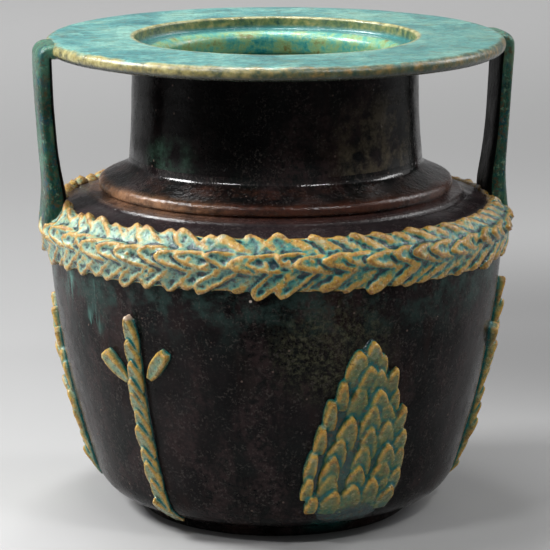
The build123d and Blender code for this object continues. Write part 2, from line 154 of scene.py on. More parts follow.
def turned(name, outline, segments=240, ring=False):
    """Turn an outline about the jar's axis. A ring closes on itself, else both ends are poles."""
    points, rows = [], []
    for r, z in outline:
        if r < 1e-6:
            rows.append([len(points)] * segments)
            points.append((0, 0, z))
        else:
            rows.append(list(range(len(points), len(points) + segments)))
            points += [tuple(on_jar(2 * pi * k / segments, r, z)) for k in range(segments)]
    faces = []
    pairs = list(zip(rows, rows[1:])) + ([(rows[-1], rows[0])] if ring else [])
    for low, high in pairs:
        for k in range(segments):
            n = (k + 1) % segments
            face = list(dict.fromkeys((low[k], low[n], high[n], high[k])))
            if len(face) > 2:
                faces.append(face)
    piece = mesh_piece(name, hand_made(points), faces)
    piece.data.set_sharp_from_angle(angle=crease)
    return piece


def settled(piece):
    """Make what an object's modifiers give its own plain mesh, and return that mesh."""
    graph = bpy.context.evaluated_depsgraph_get()
    mesh = bpy.data.meshes.new_from_object(piece.evaluated_get(graph))
    piece.modifiers.clear()
    old = piece.data
    piece.data = mesh
    bpy.data.meshes.remove(old)
    return mesh


def merge(mesh, *others):
    """Add the other meshes to a mesh."""
    form = bmesh.new()
    for part in (mesh, *others):
        form.from_mesh(part)
    form.to_mesh(mesh)
    form.free()


def arrays(mesh):
    """A mesh's points and edges."""
    points = np.empty(len(mesh.vertices) * 3)
    mesh.vertices.foreach_get("co", points)
    edges = np.empty(len(mesh.edges) * 2, dtype=np.int64)
    mesh.edges.foreach_get("vertices", edges)
    return points.reshape(-1, 3), edges.reshape(-1, 2)


def softened(points, edges, rounds):
    """Points drawn towards the middle of their neighbours, as paste and glaze soften in a kiln."""
    a, b = edges.T
    count = len(points)
    share = np.maximum(np.bincount(np.r_[a, b], minlength=count), 1)[:, None]
    for _ in range(rounds):
        near = [
            np.bincount(a, points[b, k], count) + np.bincount(b, points[a, k], count)
            for k in range(3)
        ]
        points = 0.5 * points + 0.5 * np.stack(near, axis=1) / share
    return points


def drop_specks(mesh):
    """Take out the loose specks of skin that melting can leave in the gap between two leaves."""
    work = bmesh.new()
    work.from_mesh(mesh)
    seen, specks = set(), []
    for start in work.verts:
        if start in seen:
            continue
        seen.add(start)
        island = [start]
        for vert in island:
            for edge in vert.link_edges:
                other = edge.other_vert(vert)
                if other not in seen:
                    seen.add(other)
                    island.append(other)
        if len(island) < speck:
            specks += island
    bmesh.ops.delete(work, geom=specks, context="VERTS")
    work.to_mesh(mesh)
    work.free()


def fused(piece, grain, soften=2, reach=18, lumps=0.12, seated=True):
    """Melt overlapping pieces of paste into one skin, and keep on each point how far it
    stands out of (above 0.5) or lies below the skin round it, where glaze thins or pools.
    Where seated, the glaze also pools where the skin runs down to the wall."""
    melt = piece.modifiers.new("melt", "REMESH")
    melt.mode = "VOXEL"
    melt.voxel_size = grain * MM
    mesh = settled(piece)
    drop_specks(mesh)
    points, edges = arrays(mesh)
    points = softened(points, edges, soften)
    for i, p in enumerate(points):
        spot = Vector(p) / MM
        fine = noise.noise_vector(spot / fine_lump) * lumps * MM
        broad = noise.noise_vector(spot / broad_lump) * lumps * 2 * MM
        points[i] = p + np.array(fine + broad)
    wide = softened(points, edges, reach)
    mesh.vertices.foreach_set("co", points.ravel())
    mesh.update()
    normals = np.empty(len(mesh.vertices) * 3)
    mesh.vertices.foreach_get("normal", normals)
    stand = ((points - wide) * normals.reshape(-1, 3)).sum(axis=1)
    stand = 0.5 + 0.5 * np.clip(stand / (stand.std() * 2.2), -1, 1)
    if seated:
        seat = np.interp(points[:, 2] / MM, wall_heights, wall_radii)
        proud = np.clip((np.hypot(points[:, 0], points[:, 1]) / MM - seat - 0.3) / 1.7, 0, 1)
        stand = stand * proud + 0.1 * (1 - proud)
    mesh.attributes.new("ridge", "FLOAT", "POINT").data.foreach_set("value", stand)
    smooth(mesh)
    return piece


def tube_faces(rings, around):
    """Faces of a tube of rings with so many points each, closed at both ends."""
    faces = []
    for low in range(0, (rings - 1) * around, around):
        high = low + around
        for k in range(around):
            n = (k + 1) % around
            faces.append((low + k, low + n, high + n, high + k))
    faces.append(tuple(range(around)))
    faces.append(tuple(reversed(range((rings - 1) * around, rings * around))))
    return faces


def feed(tree, node, ins):
    """Link a node's inputs to sockets, or write values on them; None leaves one as it is."""
    for key, value in ins.items():
        if isinstance(value, bpy.types.NodeSocket):
            tree.links.new(value, node.inputs[key])
        elif value is not None:
            node.inputs[key].default_value = value


def add_node(tree, kind, ins, out=0, **settings):
    """New node with its inputs and settings; returns one of its outputs."""
    node = tree.nodes.new(kind)
    for key, value in settings.items():
        setattr(node, key, value)
    feed(tree, node, ins)
    return node.outputs[out]


# ---------- blades, pressed on one by one
def blade(name, widths, heights, across):
    """Unit leaf or scale from stem (x 0) to tip (x 1): widths and heights along it, and the
    height across it as a share from edge to middle. Towards the tip its hollow fills."""
    stations = np.linspace(0, 1, len(widths))
    stations = 1 - (1 - stations) ** 1.35
    sides = [(-u, h) for u, h in across] + [(u, h) for u, h in reversed(across)][1:]
    sole, sunk, fill_from = 0.44, -0.9, 0.82
    points = []
    for x, width, height in zip(stations, widths, heights):
        fill = max(0.0, (x - fill_from) / 0.18)
        points.append((x, -width * sole, sunk))
        for u, h in sides:
            rim = 0.9 + 0.1 * (1 - abs(u))
            level = h + (rim - h) * fill * (abs(u) < 0.8)
            points.append((x, u * width / 2, height * level))
        points.append((x, width * sole, sunk))
    return mesh_piece(name, np.array(points) / MM, tube_faces(len(widths), len(sides) + 2))


def press_tree():
    """Node tree that presses one blade on each point, turned and sized as the point says."""
    tree = bpy.data.node_groups.new("press_blades", "GeometryNodeTree")
    face = tree.interface
    for label, kind, value in (
        ("Places", "Geometry", None),
        ("Blade", "Object", None),
        ("Length", "Float", 1.0),
        ("Width", "Float", 1.0),
        ("Thickness", "Float", 1.0),
        ("Unevenness", "Float", 0.08),
        ("Tilt", "Float", 0.06),
        ("Seed", "Int", 1),
        ("Glaze", "Material", None),
    ):
        socket = face.new_socket(label, in_out="INPUT", socket_type="NodeSocket" + kind)
        if value is not None:
            socket.default_value = value
    face.new_socket("Blades", in_out="OUTPUT", socket_type="NodeSocketGeometry")

    def add(kind, ins, **settings):
        return add_node(tree, kind, ins, **settings)

    given = tree.nodes.new("NodeGroupInput").outputs
    shape = add("GeometryNodeObjectInfo", {"Object": given["Blade"]}, out="Geometry")
    turn, size = (
        add("GeometryNodeInputNamedAttribute", {"Name": name}, data_type="FLOAT_VECTOR")
        for name in ("turn", "size")
    )
    sizes = add(
        "ShaderNodeCombineXYZ", {0: given["Length"], 1: given["Width"], 2: given["Thickness"]}
    )

    def chance(low, high, seed):
        """Random vector for each blade, between two levels."""
        low, high = (
            add("ShaderNodeCombineXYZ", {0: level, 1: level, 2: level}) for level in (low, high)
        )
        ins = {0: low, 1: high, "Seed": seed}
        return add("FunctionNodeRandomValue", ins, data_type="FLOAT_VECTOR")

    less = add("ShaderNodeMath", {0: 1.0, 1: given["Unevenness"]}, operation="SUBTRACT")
    more = add("ShaderNodeMath", {0: 1.0, 1: given["Unevenness"]}, operation="ADD")
    uneven = chance(less, more, given["Seed"])
    back = add("ShaderNodeMath", {0: given["Tilt"], 1: -1.0}, operation="MULTIPLY")
    other_seed = add("ShaderNodeMath", {0: given["Seed"], 1: 17.0}, operation="ADD")
    tilt = chance(back, given["Tilt"], other_seed)
    scale = add("ShaderNodeVectorMath", {0: size, 1: sizes}, operation="MULTIPLY")
    scale = add("ShaderNodeVectorMath", {0: scale, 1: uneven}, operation="MULTIPLY")
    stand = add("FunctionNodeEulerToRotation", {0: turn})
    lean = add("FunctionNodeEulerToRotation", {0: tilt})
    stand = add("FunctionNodeRotateRotation", {0: stand, 1: lean}, rotation_space="LOCAL")
    placed = add(
        "GeometryNodeInstanceOnPoints",
        {"Points": given["Places"], "Instance": shape, "Rotation": stand, "Scale": scale},
    )
    real = add("GeometryNodeRealizeInstances", {"Geometry": placed})
    glazed = add("GeometryNodeSetMaterial", {"Geometry": real, "Material": given["Glaze"]})
    tree.links.new(glazed, tree.nodes.new("NodeGroupOutput").inputs[0])
    return tree


press = press_tree()


def place(low, high, width, thickness, sink=0.0, tip_sink=0.0):
    """Place for a blade between two spots (point, face), its ends sunk this far into them."""
    (root, face), (tip, tip_face) = low, high
    return root - face * sink, tip - tip_face * tip_sink, face + tip_face, width, thickness


def pressed(name, shape, places, glaze, seed, base=None, **sizes):
    """Press a blade at each place, in mm, and return them with the bed under them as one
    object."""
    turns, spans = [], []
    for root, tip, face, width, thickness in places:
        along = tip - root
        x = along.normalized()
        z = (face - x * face.dot(x)).normalized()
        turns.append(tuple(Matrix((x, z.cross(x), z)).transposed().to_euler()))
        spans.append((along.length * MM, width * MM, thickness * MM))
    mesh = bpy.data.meshes.new(name)
    mesh.from_pydata([tuple(root * MM) for root, *_ in places], [], [])
    for label, values in (("turn", turns), ("size", spans)):
        kept = mesh.attributes.new(label, "FLOAT_VECTOR", "POINT")
        kept.data.foreach_set("vector", np.array(values).ravel())
    piece = bpy.data.objects.new(name, mesh)
    bpy.context.scene.collection.objects.link(piece)
    work = piece.modifiers.new("press", "NODES")
    work.node_group = press
    inputs = {item.name: item.identifier for item in press.interface.items_tree}
    work[inputs["Blade"]] = shape
    work[inputs["Seed"]] = seed
    work[inputs["Glaze"]] = glaze
    for label, value in sizes.items():
        work[inputs[label]] = value
    blades = settled(piece)
    if base:
        merge(blades, base.data)
    for label in ("turn", "size"):
        if label in blades.attributes:
            blades.attributes.remove(blades.attributes[label])
    return piece


hollow = ((1.0, 0.1), (0.95, 0.7), (0.84, 1.0), (0.62, 0.84), (0.3, 0.66), (0.0, 0.6))
ridged = ((1.0, 0.1), (0.88, 0.5), (0.64, 0.82), (0.34, 0.98), (0.0, 1.0))
flat = ((1.0, 0.1), (0.94, 0.62), (0.8, 0.92), (0.5, 0.97), (0.22, 0.93), (0.0, 0.95))
round_leaf = blade(
    "round_leaf", (0.5, 0.78, 0.95, 1.0, 1.0, 0.9, 0.62),
    (0.3, 0.5, 0.72, 0.9, 1.0, 1.0, 0.7), hollow,
)
rib = blade(
    "rib", (0.75, 0.92, 1.0, 1.0, 0.94, 0.78, 0.4),
    (0.62, 0.78, 0.9, 0.98, 1.0, 0.98, 0.7), ridged,
)
finger = blade(
    "finger", (0.75, 0.92, 1.0, 1.0, 1.0, 0.9, 0.6),
    (0.72, 0.84, 0.92, 0.98, 1.0, 0.98, 0.72), hollow,
)
arrow_leaf = blade(
    "arrow_leaf", (0.96, 1.0, 1.0, 0.93, 0.76, 0.5, 0.14),
    (0.36, 0.56, 0.76, 0.92, 1.02, 1.04, 0.8),
    ((1.0, 0.1), (0.95, 0.75), (0.84, 1.0), (0.6, 0.84), (0.28, 0.68), (0.0, 0.63)),
)
arrow_rib = blade(
    "arrow_rib", (0.96, 1.0, 1.0, 0.93, 0.76, 0.5, 0.16),
    (0.36, 0.56, 0.76, 0.92, 1.02, 1.04, 0.8),
    ((1.0, 0.1), (0.94, 0.74), (0.8, 0.98), (0.56, 0.9), (0.28, 0.86), (0.0, 0.84)),
)
tongue = blade(
    "tongue", (0.74, 0.92, 1.0, 0.9, 0.68, 0.42, 0.12),
    (0.14, 0.38, 0.6, 0.8, 0.96, 1.04, 0.8), flat,
)
knob = blade(
    "knob", (0.84, 1.0, 1.0, 0.9, 0.78, 0.64, 0.4),
    (0.4, 0.66, 0.86, 1.0, 1.06, 1.1, 1.0), flat,
)
slab = blade(
    "slab", (0.5, 0.8, 1.0, 1.0, 0.95, 0.85, 0.6),
    (0.5, 0.75, 0.9, 1.0, 1.0, 1.0, 0.85),
    ((1.0, 0.1), (0.95, 0.72), (0.82, 0.96), (0.55, 0.95), (0.25, 0.9), (0.0, 0.88)),
)


# ---------- glazes
def paint(colour):
    """A colour written as it looks on a screen, red, green, blue; a socket stays as it is."""
    if isinstance(colour, bpy.types.NodeSocket):
        return colour
    return tuple(
        (c / 255 / 12.92 if c <= 10 else ((c / 255 + 0.055) / 1.055) ** 2.4) for c in colour
    ) + (1.0,)


class Recipe:
    """One glaze, from the place on the jar to the shader."""

    def __init__(self, name):
        self.glaze = bpy.data.materials.new(name)
        self.glaze.use_nodes = True
        self.tree = self.glaze.node_tree
        self.shader = self.tree.nodes["Principled BSDF"]
        self.place = self.step("ShaderNodeTexCoord", out="Object")
        self.x, self.y, self.z = (
            self.step("ShaderNodeSeparateXYZ", self.place, out=axis) for axis in range(3)
        )
        flat = self.step("ShaderNodeVectorMath", self.place, (1, 1, 0), operation="MULTIPLY")
        self.r = self.step("ShaderNodeVectorMath", flat, out="Value", operation="LENGTH")
        self.colour = self.bump = None

    def step(self, kind, *ins, out=0, named=None, **settings):
        ins = dict(enumerate(ins)) | (named or {})
        return add_node(self.tree, kind, ins, out=out, **settings)

    def math(self, operation, a, b=0.0):
        return self.step("ShaderNodeMath", a, b, operation=operation)

    def times(self, a, b):
        return self.math("MULTIPLY", a, b)

    def plus(self, a, b):
        return self.math("ADD", a, b)

    def grain(self, size, detail=3.0, rough=0.55, stretch=None, shift=(0, 0, 0), warp=0.0):
        """Cloudy unevenness with patches of about this size in mm."""
        where = self.place
        if stretch:
            where = self.step("ShaderNodeVectorMath", where, stretch, operation="MULTIPLY")
        where = self.step("ShaderNodeVectorMath", where, shift, operation="ADD")
        named = {"Distortion": warp}
        return self.step(
            "ShaderNodeTexNoise", where, None, 1 / MM / size, detail, rough, named=named
        )

    def spots(self, size, reach, rare=0.5, shift=(0, 0, 0)):
        """Round spots scattered about this far apart in mm; rare leaves some of them out."""
        where = self.step("ShaderNodeVectorMath", self.place, shift, operation="ADD")
        cell = self.tree.nodes.new("ShaderNodeTexVoronoi")
        self.tree.links.new(where, cell.inputs["Vector"])
        cell.inputs["Scale"].default_value = 1 / MM / size
        dot = self.within(cell.outputs["Distance"], reach, reach * 0.45)
        pick = self.step("ShaderNodeSeparateColor", cell.outputs["Color"], out=0)
        return self.times(dot, self.within(pick, rare, rare + 0.02))

    def within(self, value, low, high, to_low=0.0, to_high=1.0):
        """0 at low and 1 at high, with a soft step between."""
        return self.step(
            "ShaderNodeMapRange", value, low, high, to_low, to_high, interpolation_type="SMOOTHSTEP"
        )

    def clouds(self, low, high, *size, **more):
        """0 and 1 in clouds of a grain, with a soft step from low to high."""
        return self.within(self.grain(*size, **more), low, high)

    def belt(self, value, low, high, soft):
        """1 between two values, fading over soft outside them."""
        rise = self.within(value, low - soft, low)
        return self.times(rise, self.within(value, high + soft, high))

    def blend(self, share, a, b):
        """Colour a, and colour b where the share is 1."""
        named = {0: share, 6: paint(a), 7: paint(b)}
        return self.step("ShaderNodeMix", named=named, out=2, data_type="RGBA", clamp_factor=True)

    def lay(self, share, tint, most=1.0):
        """Lay a tint over the colour so far, as thick as the share says, times most."""
        share = share if most == 1.0 else self.times(share, most)
        self.colour = self.blend(share, self.colour, tint)

    def tints(self, value, *stops):
        """Colour that runs through stops (position, colour) as the value goes from 0 to 1."""
        node = self.tree.nodes.new("ShaderNodeValToRGB")
        self.tree.links.new(value, node.inputs[0])
        ramp = node.color_ramp
        while len(ramp.elements) < len(stops):
            ramp.elements.new(0.5)
        for element, (at, colour) in zip(ramp.elements, stops):
            element.position = at
            element.color = paint(colour)
        return node.outputs[0]

    def patch(self, angle, z, width, height):
        """1 at a place on the jar (degrees from the front, mm up), fading to 0 at this size."""
        a = radians(angle)
        across = self.plus(self.times(self.x, cos(a)), self.times(self.y, sin(a)))
        toward = self.plus(self.times(self.x, sin(a)), self.times(self.y, -cos(a)))
        across = self.times(across, 1 / (width * MM))
        up = self.times(self.plus(self.z, -z * MM), 1 / (height * MM))
        far = self.math("SQRT", self.plus(self.times(across, across), self.times(up, up)))
        return self.times(self.within(far, 1.0, 0.35), self.within(toward, 0.0, 0.02))

    def kept(self, name):
        """What the mesh keeps on its points under a name."""
        return self.step("ShaderNodeAttribute", out="Fac", attribute_name=name)

    def dent(self, height, depth):
        """Add a bump of this depth in mm to those so far."""
        named = {"Distance": depth * MM, "Height": height, "Normal": self.bump}
        self.bump = self.step("ShaderNodeBump", named=named)

    def fire(self, roughness, coat=0.0, coat_roughness=0.08, gloss=0.5):
        """Give the shader the colour and bumps so far, and its gloss."""
        ins = {
            "Base Color": self.colour,
            "Roughness": roughness,
            "Normal": self.bump,
            "Coat Weight": coat,
            "Coat Roughness": coat_roughness,
            "Coat Normal": self.bump,
            "Specular IOR Level": gloss,
        }
        feed(self.tree, self.shader, ins)
        return self.glaze


def dark_glaze(name, neck=False):
    """Manganese black-purple glaze, pitted and speckled, greenish near the garland."""
    g = Recipe(name)
    slow = g.grain(46, 4, 0.6, warp=0.4)
    streak = g.grain(26, 4, 0.6, stretch=(1, 1, 0.22), shift=(0.3, 0.1, 0))
    fine = g.grain(2.4, 4, 0.7)
    mid = g.grain(9, 4, 0.65, shift=(0.2, 0, 0.4))
    g.colour = g.tints(slow, (0.34, (4, 4, 4)), (0.5, (13, 11, 12)), (0.64, (28, 23, 24)))
    brown = g.within(streak, 0.54, 0.7)
    g.lay(brown, (46, 28, 25), 0.55)
    haze = g.times(g.clouds(0.42, 0.64, 15, 5, 0.7, shift=(0, 0.5, 0)), 0.6)
    near_garland = g.times(g.within(g.z, 0.096, 0.126), g.within(g.z, 0.152, 0.14))
    g.lay(g.times(haze, g.plus(g.times(near_garland, 1.5), 0.1)), (44, 64, 60))
    g.lay(g.times(g.patch(3, 99, 38, 32), g.clouds(0.44, 0.7, 2.4, 6, 0.85)), (86, 86, 66))
    run = g.times(g.patch(9, 9, 19, 9), g.within(mid, 0.3, 0.55, 0.4, 1.0))
    g.lay(run, (24, 66, 62))
    plum = g.clouds(0.46, 0.62, 20, 5, 0.7, stretch=(1, 1, 0.45), shift=(0.9, 0.2, 0))
    plum = g.times(plum, g.clouds(0.36, 0.6, 3, 4, 0.7))
    g.lay(plum, (50, 38, 38), 0.75)
    salt = g.times(g.clouds(0.52, 0.66, 1.3, 3, 0.7), g.within(mid, 0.4, 0.62, 0.12, 0.7))
    g.lay(salt, (80, 74, 70), 0.8)
    drips = g.times(
        g.times(g.patch(-69, 116, 20, 30), g.within(streak, 0.44, 0.6)),
        g.clouds(0.44, 0.6, 4.5, 3, 0.6, stretch=(1, 1, 0.15)),
    )
    g.lay(drips, (104, 156, 146), 0.9)
    rub = g.grain(9, 5, 0.75, stretch=(0.6, 0.6, 1.3), shift=(0.7, 0, 0))
    # painted highlight: the brick-brown ridge is drawn lighter at its left end, where the light
    # falls; the brick colour and its wear are the glaze's own
    painted_highlight_left_end = g.within(g.x, -0.03, -0.075)
    edge_wear = g.times(g.belt(g.z, 0.1574, 0.1616, 0.0026), g.within(rub, 0.3, 0.62, 0.15, 1.0))
    brick_and_painted_highlight = g.blend(fine, (46, 24, 18), (106, 60, 42))
    brick_and_painted_highlight = g.blend(g.times(painted_highlight_left_end, g.within(fine, 0.3, 0.6, 0.3, 0.9)), brick_and_painted_highlight, (186, 140, 104))
    g.lay(edge_wear, brick_and_painted_highlight, 0.72)
    collar = g.times(g.belt(g.z, 0.1635, 0.1675, 0.002), g.within(rub, 0.46, 0.66))
    g.lay(collar, (66, 40, 30), 0.5)
    slope = g.belt(g.z, 0.147, 0.1565, 0.001)
    g.lay(slope, g.blend(fine, (40, 32, 36), (74, 62, 64)), 0.32)
    if neck:
        # painted shade: the neck's left side, where the key lamp falls, is drawn near black
        g.lay(g.within(g.x, -0.014, -0.042), (3, 2, 2), 0.8)
        g.lay(g.times(g.patch(-58, 176, 22, 17), g.within(mid, 0.35, 0.7)), (36, 56, 46))
        # grey haze on the right of the neck, partly the glaze's own and partly a painted reflection
        # from the right
        g.lay(g.times(g.patch(30, 185, 34, 30), g.within(mid, 0.42, 0.66, 0.0, 0.8)), (86, 78, 62))
        inside = g.within(g.r, 0.0665, 0.0655)
        g.lay(inside, g.blend(mid, (20, 92, 92), (140, 170, 124)))
    dust = g.spots(7.0, 0.1, 0.66)
    bright = g.spots(19.0, 0.045, 0.6, shift=(0.013, 0.021, 0.007))
    g.lay(dust, (122, 104, 96), 0.55)
    g.lay(bright, (226, 208, 196))
    pits = g.spots(5.0, 0.16, 0.55, shift=(0.1, 0, 0.1))
    rings = g.grain(30, 2, 0.5, stretch=(0.25, 0.25, 3.4))
    g.dent(g.grain(24, 2, 0.5, shift=(0.4, 0, 0)), 0.55)
    g.dent(rings, 0.18)
    g.dent(mid, 0.2)
    g.dent(fine, 0.13)
    g.dent(g.times(g.plus(fine, mid), g.belt(g.z, 0.156, 0.1665, 0.003)), 0.26)
    g.dent(g.math("SUBTRACT", 1.0, pits), 0.16)
    rough = g.plus(g.within(mid, 0.35, 0.75, 0.16, 0.34), g.times(salt, 0.25))
    if neck:
        coat = g.plus(
            g.within(g.x, -0.05, 0.03, 0.05, 0.26), g.times(g.within(g.z, 0.182, 0.174), 0.4)
        )
    else:
        high = g.times(g.belt(g.z, 0.1538, 0.172, 0.0016), g.within(g.y, 0.0, -0.04, 0.05, 0.65))
        coat = g.plus(high, 0.1)
    return g.fire(rough, coat=coat, coat_roughness=0.06, gloss=0.05)


def turquoise_glaze(name):
    """Copper turquoise of the rim: ochre where it runs thin, deep where it pools in the seat."""
    g = Recipe(name)
    slow = g.grain(34, 4, 0.6, warp=0.5)
    streak = g.grain(5.5, 8, 0.85, stretch=(0.7, 1, 1), warp=0.2)
    fine = g.grain(1.7, 4, 0.7)
    g.colour = g.tints(
        g.plus(g.times(slow, 0.55), g.times(streak, 0.45)),
        (0.38, (30, 104, 112)),
        (0.49, (86, 156, 154)),
        (0.62, (144, 196, 180)),
    )
    # painted shade: the rim is drawn darker towards the right, away from the light on the left
    far = g.within(g.plus(g.times(g.x, 0.9), g.times(g.y, -0.5)), -0.05, 0.1)
    g.lay(far, (62, 112, 104), 0.42)
    dirt = g.clouds(0.52, 0.7, 11, 5, 0.72, stretch=(0.5, 1, 1), shift=(0.2, 0.6, 0))
    g.lay(dirt, (96, 116, 84), 0.5)
    g.lay(g.within(fine, 0.5, 0.66), (78, 104, 82), 0.55)
    rubbed = g.clouds(0.54, 0.68, 3.2, 4, 0.7, stretch=(0.5, 1, 1), shift=(0.1, 0.4, 0))
    g.lay(rubbed, (104, 84, 52), 0.5)
    thin = g.within(g.plus(g.r, g.times(g.plus(g.grain(13, 4, 0.65), -0.5), 0.008)), 0.1062, 0.1092)
    # the ochre edge runs lighter and yellower on the left, darker and greener at the front and
    # right: partly the glaze's own thin ochre, partly painted light from the left
    side = g.within(g.x, 0.0, -0.075)
    mottle = g.grain(5, 4, 0.7, shift=(0, 0, 0.3))
    ochre = g.blend(
        side,
        g.tints(mottle, (0.36, (34, 60, 50)), (0.52, (92, 84, 46)), (0.66, (146, 112, 54))),
        g.tints(mottle, (0.36, (92, 84, 46)), (0.5, (148, 132, 74)), (0.64, (184, 172, 112))),
    )
    g.lay(thin, ochre, 0.9)
    mouth = g.belt(g.r, 0.0655, 0.0686, 0.0016)
    upper = g.within(g.z, 0.2278, 0.2292)
    lip = g.tints(mottle, (0.36, (96, 88, 48)), (0.5, (156, 144, 88)), (0.64, (200, 190, 136)))
    g.lay(g.times(mouth, upper), lip, 0.85)
    inside = g.times(g.within(g.r, 0.0688, 0.0676), g.within(g.z, 0.2299, 0.2286))
    wall_inside = g.tints(
        mottle, (0.34, (30, 70, 60)), (0.5, (88, 108, 68)), (0.66, (140, 136, 84))
    )
    g.lay(inside, wall_inside)
    pool = g.times(g.belt(g.r, 0.06, 0.068, 0.0014), g.within(g.z, 0.2266, 0.2246))
    g.lay(pool, g.blend(mottle, (10, 78, 86), (70, 140, 134)))
    seat = g.times(g.within(g.r, 0.0614, 0.0592), g.within(g.z, 0.2262, 0.2246))
    patchy = g.grain(9, 6, 0.8, shift=(0.4, 0.1, 0))
    ledge = g.tints(
        patchy,
        (0.38, (36, 128, 132)),
        (0.47, (82, 156, 140)),
        (0.56, (134, 168, 118)),
        (0.66, (116, 112, 66)),
    )
    g.lay(seat, ledge)
    under = g.times(g.within(g.z, 0.2262, 0.2244), g.within(g.r, 0.0695, 0.071))
    g.lay(under, g.blend(slow, (16, 22, 20), (46, 60, 48)))
    specks = g.spots(4.6, 0.12, 0.62)
    g.lay(specks, (92, 70, 44), 0.6)
    g.dent(g.grain(16, 3, 0.5), 0.4)
    g.dent(streak, 0.16)
    g.dent(fine, 0.14)
    rough = g.within(streak, 0.35, 0.7, 0.2, 0.36)
    return g.fire(rough, coat=0.4, coat_roughness=0.1)


def handle_glaze(name):
    """Turquoise-green on the outside of the straps, black and rough inside."""
    g = Recipe(name)
    slow = g.grain(24, 4, 0.6)
    fine = g.grain(1.6, 4, 0.7)
    mid = g.grain(6, 4, 0.65, stretch=(1, 1, 0.4))
    g.colour = g.tints(
        g.plus(g.times(slow, 0.5), g.times(mid, 0.5)),
        (0.36, (6, 40, 36)),
        (0.5, (24, 78, 64)),
        (0.64, (62, 124, 100)),
    )
    high = g.within(g.z, 0.2, 0.228)
    g.lay(high, (96, 146, 124), 0.4)
    blue = g.clouds(0.5, 0.64, 8, 4, 0.7, shift=(0, 0.3, 0.6))
    g.lay(blue, (8, 66, 84), 0.7)
    brown = g.times(
        g.within(fine, 0.46, 0.6),
        g.within(g.grain(7, 4, 0.7, shift=(0.5, 0, 0)), 0.42, 0.6, 0.3, 0.9),
    )
    g.lay(brown, (80, 62, 36))
    g.lay(g.clouds(0.56, 0.7, 2.2, 3, 0.6), (126, 160, 130), 0.5)
    edge = g.kept("edge")
    g.lay(g.times(g.within(edge, 0.7, 1.0), g.within(mid, 0.5, 0.72, 0.0, 0.5)), (112, 100, 58))
    inner = g.within(g.kept("inner"), 0.25, 0.75)
    g.lay(inner, g.blend(slow, (6, 7, 7), (20, 24, 22)))
    g.dent(g.grain(9, 3, 0.5), 0.4)
    g.dent(fine, 0.42)
    rough = g.plus(g.within(mid, 0.35, 0.7, 0.2, 0.4), g.times(inner, 0.2))
    return g.fire(
        rough, coat=g.within(inner, 0, 1, 0.16, 0.0), gloss=g.within(inner, 0, 1, 0.24, 0.12)
    )


def relief_glaze(name, tones, stops, wear=(), pale_glaze_and_highlight=1.0, rusty=0.75, coat=0.6):
    """Glaze over pressed paste, in four tones from where it pools between the ridges to where it
    thins on them. Wear lists patches of bare paste (degrees, mm up, width, height)."""
    g = Recipe(name)
    mid = g.grain(5.5, 4, 0.65)
    fine = g.grain(1.5, 4, 0.7)
    ridge = g.plus(g.kept("ridge"), g.times(g.plus(mid, -0.5), 0.46))
    ridge = g.plus(ridge, g.times(g.plus(fine, -0.5), 0.4))
    g.colour = g.tints(ridge, *zip(stops, tones))
    rust = g.times(g.within(ridge, 0.62, 0.85), g.clouds(0.46, 0.6, 3.4, 4, 0.7))
    g.lay(rust, (154, 94, 40), rusty)
    stain = g.times(g.clouds(0.52, 0.68, 9, 5, 0.7, shift=(0.6, 0.3, 0.2)), 0.45)
    g.lay(g.times(stain, g.within(ridge, 0.3, 0.5)), (86, 76, 44))
    # painted highlight: pale glints laid in the hollows on the left side, as if lit from the left;
    # the crumbs and scum below are the glaze's own pale specks
    painted_highlight = g.times(g.times(g.within(g.x, 0.0, -0.1), g.within(ridge, 0.2, 0.42)), 0.42 * pale_glaze_and_highlight)
    painted_highlight = g.times(painted_highlight, g.within(ridge, 0.68, 0.5, 0.15, 1.0))
    g.lay(painted_highlight, g.blend(fine, (150, 190, 164), (222, 228, 196)))
    freckles = g.times(g.clouds(0.52, 0.64, 2.2, 4, 0.7, shift=(0.3, 0, 0)), 0.7)
    g.lay(freckles, (92, 70, 42))
    crumbs = g.times(
        g.clouds(0.56, 0.66, 1.4, 3, 0.7, shift=(0.1, 0.7, 0)), g.within(ridge, 0.35, 0.6)
    )
    g.lay(crumbs, (228, 214, 168), 0.5 * pale_glaze_and_highlight)
    scum = g.times(g.clouds(0.54, 0.7, 7, 5, 0.75, shift=(0, 0.2, 0)), 0.5)
    scum = g.times(scum, g.within(ridge, 0.25, 0.5))
    g.lay(scum, (188, 204, 178), pale_glaze_and_highlight)
    for spot in wear:
        g.lay(g.patch(*spot), (222, 196, 172))
    g.dent(g.grain(3.6, 3, 0.6), 0.5)
    g.dent(fine, 0.5)
    rough = g.within(mid, 0.35, 0.7, 0.14, 0.34)
    return g.fire(rough, coat=coat, coat_roughness=0.06, gloss=0.4)


body_glaze = dark_glaze("body_manganese_glaze")
neck_glaze = dark_glaze("neck_manganese_glaze", neck=True)
rim_glaze = turquoise_glaze("rim_turquoise_glaze")
strap_glaze = handle_glaze("handle_turquoise_glaze")
garland_glaze = relief_glaze(
    "garland_ochre_and_turquoise_glaze",
    ((0, 46, 56), (46, 132, 124), (128, 148, 92), (190, 148, 64)),
    stops=(0.24, 0.4, 0.52, 0.63),
)
scale_glaze = relief_glaze(
    "relief_ochre_and_green_glaze",
    ((0, 96, 94), (72, 108, 76), (138, 132, 70), (192, 152, 62)),
    stops=(0.24, 0.4, 0.7, 0.9),
    rusty=0.5,
    coat=0.35,
    wear=((-49.5, 112.5, 4, 2.6), (12, 105.5, 5, 2.4), (20, 96, 3.4, 4.5)),
    pale_glaze_and_highlight=0.6,
)
bed_glaze = relief_glaze(
    "relief_bed_teal_glaze",
    ((2, 42, 46), (16, 66, 66), (34, 80, 70), (60, 84, 60)),
    stops=(0.16, 0.34, 0.5, 0.66),
    wear=((12, 106.5, 3.4, 2.2),),
    pale_glaze_and_highlight=0.1,
)

